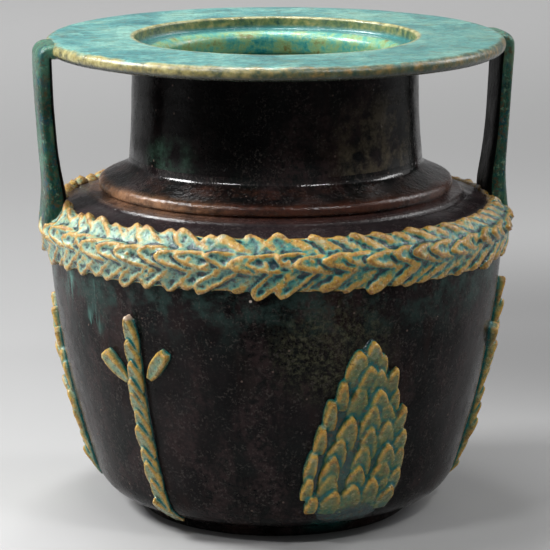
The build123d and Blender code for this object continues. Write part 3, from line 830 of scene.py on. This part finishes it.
# ---------- wall, neck and rim
lowest_wall = 7.6
wall_line = [(wall_radius(z), z) for z in np.linspace(lowest_wall, girdle[1], 60)]
inner_line = [
    (wall_radius(z) - wall_thick, z) for z in np.linspace(girdle[1], foot_top + turn_curve, 26)
]
foot_line = rounded(
    [(0, foot_top), (54.2, foot_top, 2.2), (56.2, 0, 1.6), (65.2, 0, 2.2), (66.8, 5.0, 1.2)]
    + wall_line[:1]
)
shoulder_line = rounded(
    wall_line[-1:]
    + [
        (109.3, 140.5, 3.0), (102.6, 150.7, 3.0), (91.2, 154.3, 1.3), (89.5, 156.3, 1.3),
        (86.2, 156.5, 1.2), (83.2, 157.2, 0.9), (85.2, 158.1, 1.1), (85.0, 162.2, 2.2),
        (76.0, 165.9, 5.0), (70.6, 169.4, 5.0), (70.4, 173.2), (neck_bore, 173.2),
        (neck_bore, 156.0, 5.0), (102.3, 142.0, 7.0), (102.3, 130.0),
    ]
)
floor_line = rounded([inner_line[-1], (80.0, 19.0, 9.0), (66.0, 13.8, 8.0), (0, 13.8)], steps=10)
wall = turned(
    "jar_wall",
    dense(foot_line)
    + wall_line[1:]
    + dense(shoulder_line)[1:]
    + inner_line[1:]
    + dense(floor_line, 4)[1:],
)
neck = turned(
    "jar_neck",
    dense(
        [(70.4, 172.9), (70.2, 176), (69.6, 184), (69.05, 196), (68.75, 209), (68.8, 223.3)]
        + [(neck_bore, 223.3), (neck_bore, 172.9)]
    ),
    ring=True,
)
edge_line = [
    (106.6 + 3.3 * cos(t), 226.7 + 3.4 * sin(t)) for t in np.linspace(pi / 2, -pi / 2, 13)
]
rim = turned(
    "jar_rim",
    dense(
        rounded([(67.2, 226.4), (67.5, 230.1, 1.3), edge_line[0]])
        + edge_line[1:]
        + rounded(
            edge_line[-1:]
            + [
                (70.5, 223.35, 1.5), (63.6, 223.2), (63.4, 210.8, 0.8), (57.4, 212.0, 3.0),
                (56.3, 221.8, 3.2), (61.0, 224.6, 2.4), (66.6, 223.9, 1.2), (67.2, 226.4),
            ]
        )[1:-1],
        3.0,
    ),
    ring=True,
)
for piece, glaze in ((wall, body_glaze), (neck, neck_glaze), (rim, rim_glaze)):
    piece.data.materials.append(glaze)


# ---------- handles
strap_line = (  # height, radius, half thickness and width, from the garland up
    (138.0, 110.4, 4.4, 25.0), (143.0, 110.0, 4.6, 25.0), (149.0, 108.4, 5.6, 25.0),
    (154.0, 108.0, 5.5, 24.6), (160.0, 108.2, 4.9, 24.0), (168.0, 109.1, 4.3, 23.2),
    (178.0, 110.2, 4.0, 22.6), (190.0, 111.1, 3.95, 22.6), (202.0, 111.8, 3.95, 23.0),
    (212.0, 112.3, 4.0, 23.4), (219.0, 112.6, 4.0, 24.0),
)
flat_face, flat_edge = 2 / 3.4, 2 / 4.2  # how square a slice of the strap is


def strap(name, side):
    """Strap handle: oval slices from the garland up to the corner, then in over the rim."""
    slices = [(r, z, 0.0, thick, wide / 2) for z, r, thick, wide in strap_line]
    bend = (109.8, 223.4)
    for t in np.linspace(0.1, 1, 8):
        a = t * pi / 2
        r, z = bend[0] + 2.9 * cos(a), bend[1] + 2.8 * sin(a)
        slices.append((r, z, a, 3.95 - 0.1 * t, 12.0 + 0.8 * t))
    for r, z, thick, half in (
        (105.5, 226.2, 3.8, 13.0), (101.0, 226.1, 2.9, 13.0), (98.5, 226.1, 0.8, 11.0)
    ):
        slices.append((r, z, pi / 2, thick, half))
    count = 40
    points, inner, edge = [], [], []
    for r, z, turn, thick, half in slices:
        for k in range(count):
            t = 2 * pi * k / count
            c, s = cos(t), sin(t)
            out = thick * abs(c) ** flat_face * (1 if c > 0 else -1)
            across = half * abs(s) ** flat_edge * (1 if s > 0 else -1)
            points.append((side * (r + out * cos(turn)), across, z + out * sin(turn)))
            inner.append(1.0 if c < -0.42 and turn < 1.2 else 0.0)
            edge.append(abs(across) / half)
    piece = mesh_piece(name, points, tube_faces(len(slices), count))
    for label, values in (("inner", inner), ("edge", edge)):
        piece.data.attributes.new(label, "FLOAT", "POINT").data.foreach_set("value", values)
    finer = piece.modifiers.new("finer", "SUBSURF")
    finer.levels = finer.render_levels = 2
    mesh = settled(piece)
    spots = arrays(mesh)[0]
    mesh.vertices.foreach_set("co", (hand_made(spots / MM, 0.45) * MM).ravel())
    smooth(mesh)
    piece.data.materials.append(strap_glaze)
    return piece


handle_left = strap("strap_left", -1)
handle_right = strap("strap_right", 1)

# ---------- garland
band_line = dense(
    rounded([(109.4, 127.9), (112.4, 135.5, 2.5), (112.0, 143.2, 3.0), (103.4, 151.9)]), 0.5
)
band_r, band_z = zip(*band_line)
band_steps = [hypot(q[0] - p[0], q[1] - p[1]) for p, q in zip(band_line, band_line[1:])]
band_run = np.r_[0, np.cumsum(band_steps)]


def on_band(angle, run):
    """Point on the band, and the way its face looks, at an angle and a run up from its foot."""

    def at(run):
        return np.interp(run, band_run, band_r), np.interp(run, band_run, band_z)

    r, z = at(run)
    if run < 0:
        r, z = band_r[0] + run * 0.3, band_z[0] + run
    (low_r, low_z), (high_r, high_z) = at(run - 1.5), at(run + 1.5)
    lean = atan2(low_r - high_r, high_z - low_z)
    return on_jar(angle, r, z), on_jar(angle, cos(lean), sin(lean))


def dice(*key):
    """Steady unevenness between -1 and 1 for one leaf or scale."""
    spot = Vector([k * 7.31 + 0.5 for k in (*key, 0, 0)[:3]])
    return noise.noise(spot + Vector((3.3, 8.1, 1.7))) * 2


leaves_round = 64
upper_round, lower_round = 108, 111  # radii at which the two outer rows lie
shapes = {
    "upper": round_leaf,
    "upper_ribs": rib,
    "middle": arrow_leaf,
    "middle_ribs": arrow_rib,
    "lower": finger,
    "lower_ribs": rib,
}
rows_of = {row: [] for row in shapes}


def leaf_width(round_at, slant, share):
    """Width of a leaf that takes this share of its place in a row."""
    return 2 * pi * round_at / leaves_round * sin(slant) * share


for i in range(leaves_round):
    at = 2 * pi * i / leaves_round - pi
    broad = 0.5 + 0.5 * cos(at + radians(70))  # 1 to the left of the front, where leaves are broad
    kind = "" if broad + 0.2 * dice(i, 13) > 0.62 else "_ribs"
    # upper row
    slant = radians(30 + 13 * broad + 4 * dice(i, 1))
    rise = 12.4 + 0.8 * dice(i, 2)
    start = at + 0.008 * dice(i, 12)
    tip = on_band(start - (rise + 1.0) / tan(slant) / upper_round, 16.2 + rise)
    width = leaf_width(upper_round, slant, (0.95 if kind else 1.36) + 0.1 * dice(i, 3))
    rows_of["upper" + kind].append(place(on_band(start, 15.2), tip, width, 2.9, 0.7, 0.4))
    # lower row
    slant = radians(35 + 4 * broad + 4 * dice(i, 4))
    drop = 13.4 + 0.6 * dice(i, 5)
    start = at + 0.05 + 0.008 * dice(i, 6)
    tip = on_band(start - (drop + 1.2) / tan(slant) / lower_round, 13.4 - drop)
    width = leaf_width(lower_round, slant, (0.98 if kind else 1.1) + 0.1 * dice(i, 7))
    rows_of["lower" + kind].append(place(on_band(start, 14.6), tip, width, 3.0, -0.1, 0.1))
    # middle row, over the roots of the other two
    start = at + 0.08
    lift = 1.2 * dice(i, 8) + 1.0
    root = on_band(start, 14.4 - lift * 0.6)
    tip = on_band(start - (0.2 + 0.012 * dice(i, 9)), 14.2 + lift)
    width = 7.6 + 2.2 * broad + 0.7 * dice(i, 10)
    rows_of["middle" + kind].append(place(root, tip, width, 3.3, 1.8, -0.6))
band_back = [(101.5, 150.8), (106.6, 141.5), (106.6, 128.2)]
band = turned("band", dense(band_line[::4] + band_back, 3), 200, ring=True)
rows = []
for k, (row, shape) in enumerate(shapes.items()):
    base = None if rows else band
    rows.append(pressed(f"row_{row}", shape, rows_of[row], garland_glaze, 3 + k, base))
garland = rows[0]
garland.name = "garland"
merge(garland.data, *(row.data for row in rows[1:]))
for spare in (*rows[1:], band):
    bpy.data.objects.remove(spare)
fused(garland, 0.84, soften=1, reach=9, lumps=0.26, seated=False)
garland.data.materials.clear()
garland.data.materials.append(garland_glaze)


# ---------- cones and stalks
def on_wall(angle, across, z, proud):
    """Point beside an angle round the jar, and the way the wall's face looks there."""
    lean = wall_lean(z)
    radius = wall_radius(z)
    at = radians(angle) + across / radius
    face = on_jar(at, cos(lean), sin(lean))
    return on_jar(at, radius, z) + face * proud, face


def mound(name, angle, outline, crown, columns=14):
    """Bed of paste on the wall: outline is (height, left, right) in mm up the jar, and crown is
    how far its middle stands out."""
    sunk = 1.5
    points, faces = [], []
    rows = len(outline)
    for row, (z, left, right) in enumerate(outline):
        fade = min(1.0, 0.15 + 0.5 * min(row, rows - 1 - row))
        for top in (1, 0):
            for k in range(columns + 1):
                share = k / columns
                across = left + (right - left) * share
                swell = fade * crown * (1 - abs(2 * share - 1) ** 3.5) if top else -sunk
                points.append(tuple(on_wall(angle, across, z, swell)[0]))
    step = 2 * (columns + 1)
    for i in range(rows - 1):
        for k in range(columns):
            a = i * step + k
            faces.append((a, a + 1, a + step + 1, a + step))
            b = a + columns + 1
            faces.append((b, b + step, b + step + 1, b + 1))
        for k in (0, columns):
            a = i * step + k
            b = a + columns + 1
            faces.append((a, a + step, b + step, b) if k == 0 else (a, b, b + step, a + step))
    for i in (0, rows - 1):
        for k in range(columns):
            a = i * step + k
            faces.append((a, a + 1, a + columns + 2, a + columns + 1))
    return mesh_piece(name, points, faces)


cone_edges = [  # height, left and right
    (9.5, -12, 12), (14, -16, 15), (20, -20.5, 18), (27, -24, 20.5), (33, -25.2, 22),
    (42, -25, 23), (54, -23.2, 23), (64, -20.5, 21.2), (74, -17.2, 18), (83, -13.5, 14),
    (91, -9.5, 10), (98, -5.4, 6), (102.6, -2.4, 3), (104.4, -1.1, 1.4),
]
cone_tips = [  # across, height and kind of scale
    (-6.2, 99.2, 0), (0.3, 91.8, 0), (-12.8, 85.9, 1), (5.7, 81.3, 0), (-4.3, 81.8, 0),
    (-17, 76.3, 1), (2.3, 72.3, 0), (-8.2, 68.9, 0), (10.2, 65.4, 0), (-20.5, 64.3, 1),
    (2.9, 61.4, 0), (-11.9, 59, 0), (12.2, 53, 0), (-23.3, 51, 1), (0.4, 52.4, 0),
    (-13.4, 48.9, 0), (10.8, 44.5, 0), (-1.2, 43.3, 0), (-23.5, 38.7, 1), (-13.1, 38.7, 0),
    (6.6, 34.9, 0), (-11.5, 32.3, 0), (-2.5, 32.5, 0), (-20.5, 29, 1), (1.2, 104.6, 0),
    (7.6, 96.5, 2), (12.6, 88, 2), (15.4, 78.5, 2), (18.6, 69, 2), (20.8, 59.5, 2),
    (21.8, 49.5, 2), (20.6, 40, 2), (14.4, 34, 2), (10.2, 73.5, 0), (5.2, 90.5, 0), (18.2, 31, 2),
]
scale_kinds = (  # length, width, thickness, tilt, and how proud the tip is
    (21.0, 11.2, 2.9, 0.0, 2.0),  # in the middle
    (15.5, 5.9, 3.3, -0.1, 2.0),  # a finger on the left edge
    (21.0, 9.0, 2.4, 0.32, 1.4),  # on the right edge
)
reliefs = []  # piece, CAD node, glaze
cones = {"front": 12.0, "back": 136.0, "left": -107.0}  # degrees round the jar
for number, (side, angle) in enumerate(cones.items()):
    flip = -1 if side == "back" else 1
    edges = [(z, min(flip * a, flip * b), max(flip * a, flip * b)) for z, a, b in cone_edges]
    bed = mound(f"cone_bed_{side}", angle, edges, 1.5)
    fused(bed, 0.9, soften=2, reach=8)
    inner = mound("inner", angle, [(z, a * 0.9, b * 0.9) for z, a, b in edges[2:-1]], 0.8)
    places, fingers = [], []
    for k, (across, z, kind) in enumerate(cone_tips):
        if number:
            across += 0.7 * dice(k, number, 1)
            z += 0.9 * dice(k, number, 2)
        across *= flip
        length, width, thick, tilt, proud = scale_kinds[kind]
        length = length * min(1.0, 0.6 + 0.4 * (z - 24) / 24)
        width = width + 0.7 * dice(k, number, 3)
        tilt = tilt * flip - across * 0.006
        root = on_wall(angle, across - sin(tilt) * length, z - cos(tilt) * length, 0.5)
        tip = on_wall(angle, across, z, proud)
        thick = thick + 0.3 * dice(k, number, 4)
        (fingers if kind == 1 else places).append(place(root, tip, width, thick))
    under = pressed("under", tongue, places, scale_glaze, 11 + number, inner, Tilt=0.05)
    scales = pressed(
        f"cone_scales_{side}", knob, fingers, scale_glaze, 15 + number, under, Tilt=0.05
    )
    for spare in (inner, under):
        bpy.data.objects.remove(spare)
    fused(scales, 0.62, soften=1, reach=16, lumps=0.14)
    reliefs += [
        (scales, f"cone_{side}_scales", scale_glaze),
        (bed, f"cone_{side}_bed", bed_glaze),
    ]

stalk_tips = [111.9, 102.4, 92.5, 82.0, 76.3, 68.6, 59.5, 49.9, 42.1, 32.0, 22.5]
stem_edges = [
    (11.2, -1.2, 1.2), (16, -2.6, 2.6), (24, -3.2, 3.2), (50, -3.5, 3.5), (80, -3.6, 3.6),
    (100, -3.3, 3.3), (106, -2.6, 2.6), (110.5, -1.6, 1.6),
]
inner_edges = [(z, a * 0.85, b * 0.85) for z, a, b in stem_edges]
scale_length = 17.0
stalks = {"front": -49.5, "right": 77.0, "back": -166.0}  # degrees round the jar
for number, (side, angle) in enumerate(stalks.items()):
    stem = mound(f"stalk_stem_{side}", angle, stem_edges, 2.0, columns=8)
    fused(stem, 0.6, soften=1, reach=8, lumps=0.08)
    inner = mound("inner", angle, inner_edges, 2.6, columns=8)
    places = []
    for k, z in enumerate(stalk_tips):
        lean = 0.4 * dice(k, number, 5) - 0.9
        root = on_wall(angle, 0.5, max(z - scale_length, 8.0), 1.6)
        places.append(place(root, on_wall(angle, lean, z, 2.4), 8.0, 2.7))
    scales = pressed(
        f"stalk_scales_{side}", tongue, places, scale_glaze, 21 + number, inner, Tilt=0.04
    )
    bpy.data.objects.remove(inner)
    fused(scales, 0.5, soften=1, reach=14, lumps=0.08)
    places = []
    for hand, foot_z, tip_z in ((-1, 79.5, 93.5), (1, 82.5, 97.2)):
        root = on_wall(angle, hand * 6.6, foot_z, -0.4)
        places.append(place(root, on_wall(angle, hand * 18.2, tip_z, 0.9), 7.8, 3.9))
    twigs = pressed(f"stalk_twigs_{side}", slab, places, scale_glaze, 31 + number, Tilt=0.03)
    fused(twigs, 0.5, soften=1, reach=14, lumps=0.06)
    reliefs += [
        (scales, f"stalk_{side}_scales", scale_glaze),
        (stem, f"stalk_{side}_stem", bed_glaze),
        (twigs, f"stalk_{side}_twigs", scale_glaze),
    ]
for shape in (round_leaf, rib, finger, arrow_leaf, arrow_rib, tongue, knob, slab):
    bpy.data.objects.remove(shape)
slots = {scale_glaze: "relief_scale_glaze", bed_glaze: "relief_bed_glaze"}
for piece, _, glaze in reliefs:
    piece.data.materials.clear()
    piece.data.materials.append(glaze)

# ---------- what stands for which CAD node
for piece, slot, nodes in (
    (wall, "body_glaze", ("foot_ring", "bowl", "shoulder")),
    (neck, "neck_glaze", ("neck",)),
    (rim, "rim_glaze", ("rim", "lid_seat")),
    (handle_left, "handle_glaze", ("handle_left",)),
    (handle_right, "handle_glaze", ("handle_right",)),
    (
        garland,
        "garland_glaze",
        ("garland_band", "garland_upper_leaves", "garland_middle_leaves", "garland_lower_leaves"),
    ),
    *((piece, slots[glaze], (node,)) for piece, node, glaze in reliefs),
):
    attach(piece, "root")
    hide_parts(*nodes)

# ---------- studio
scene = bpy.context.scene
scene.view_settings.view_transform = "Standard"


def sweep():
    """Floor that curves up into the backdrop."""
    reach, foot, curve = 5.0, 3.4, 1.4
    profile = [(-reach, 0.0), (foot, 0.0)]
    for t in np.linspace(0.05, pi / 2, 24):
        profile.append((foot + curve * sin(t), curve - curve * cos(t)))
    profile.append((4.8, 4.2))
    points = [(x, y, z) for y, z in profile for x in (-reach, reach)]
    faces = [(2 * i, 2 * i + 1, 2 * i + 3, 2 * i + 2) for i in range(len(profile) - 1)]
    piece = mesh_piece("studio_floor", np.array(points) / MM, faces, outward=False)
    g = Recipe("floor_paper")
    # painted light and shade on the floor: lighter towards the left front, where the key lamp
    # falls, darker towards the right
    left = g.within(g.plus(g.x, g.times(g.y, 0.35)), 0.5, -0.55)
    near = g.within(g.y, 0.5, -0.4)
    g.colour = g.blend(g.times(left, near), (146, 146, 146), (200, 200, 200))
    # painted light: the far floor and backdrop are drawn lighter
    g.lay(g.within(g.y, 0.8, 2.2), (222, 222, 222))
    # painted shadow: a darker patch on the floor to the right of and behind the jar
    away = g.step(
        "ShaderNodeVectorMath", g.place, (0.24, 0.3, 0), out="Value", operation="DISTANCE"
    )
    g.lay(g.within(away, 0.34, 0.06, 0.0, 0.7), (96, 96, 96))
    # painted shade: the floor darkens towards the front, in front of the jar
    g.lay(g.within(g.y, -0.02, -0.36), (84, 84, 84))
    g.dent(g.grain(2.0, 2, 0.5), 0.02)
    piece.data.materials.append(g.fire(0.9, gloss=0.1))


def lamp(name, place, aim, size, power, high=None):
    """Area lamp that looks at a point, as high as it is wide unless high is given."""
    data = bpy.data.lights.new(name, "AREA")
    data.shape = "RECTANGLE"
    data.size, data.size_y = size, high or size
    data.energy = power
    thing = bpy.data.objects.new(name, data)
    thing.location = place
    thing.rotation_euler = (Vector(aim) - Vector(place)).to_track_quat("-Z", "Y").to_euler()
    scene.collection.objects.link(thing)


sweep()
lamp("key_left", (-1.25, 0.3, 1.2), (0, 0, 0.12), 0.45, 33)
lamp("fill_right", (1.4, 0.1, 1.0), (0, 0, 0.12), 0.3, 8, 0.8)
lamp("strip_above", (-0.15, 0.12, 1.6), (0, 0, 0.15), 0.9, 15, 0.15)
lamp("glint_left", (-1.0, -0.75, 1.2), (0, 0, 0.15), 0.26, 8, 0.1)
lamp("glint_right", (0.5, -1.0, 1.3), (0, 0, 0.15), 0.3, 6, 0.1)
world = bpy.data.worlds.new("studio")
world.use_nodes = True
room = world.node_tree
toward = add_node(room, "ShaderNodeTexCoord", {}, out="Generated")
light = 1.0
for axis, ends in (  # along each axis: from, to, and the light's level at both
    (1, (-0.85, 0.25, 0.14, 0.64)),
    (0, (-0.9, 0.9, 0.85, 0.85)),
    (2, (-0.2, 0.9, 0.9, 1.2)),
):
    way = add_node(room, "ShaderNodeSeparateXYZ", {0: toward}, out=axis)
    level = dict(enumerate((way, *ends)))
    level = add_node(room, "ShaderNodeMapRange", level, interpolation_type="SMOOTHSTEP")
    light = add_node(room, "ShaderNodeMath", {0: light, 1: level}, operation="MULTIPLY")
room.links.new(light, room.nodes["Background"].inputs["Strength"])
room.nodes["Background"].inputs["Color"].default_value = (1, 1, 1, 1)
scene.world = world

# ---------- camera, at the photograph's angle
photo_width, focal_length = 550, 2984.48  # in the photograph's pixels
aside, down = radians(12), 0.2136
away, eye_height = 1.41825, 0.42023
camera = bpy.data.objects.new("camera", bpy.data.cameras.new("camera"))
camera.data.sensor_width = 36
camera.data.lens = 36 * focal_length / photo_width
camera.data.shift_x = -0.5 / photo_width
camera.data.clip_end = 50
camera.location = (-away * sin(aside), -away * cos(aside), eye_height)
look = Vector((sin(aside) * cos(down), cos(aside) * cos(down), -sin(down)))
camera.rotation_euler = look.to_track_quat("-Z", "Y").to_euler()
scene.collection.objects.link(camera)
scene.camera = camera
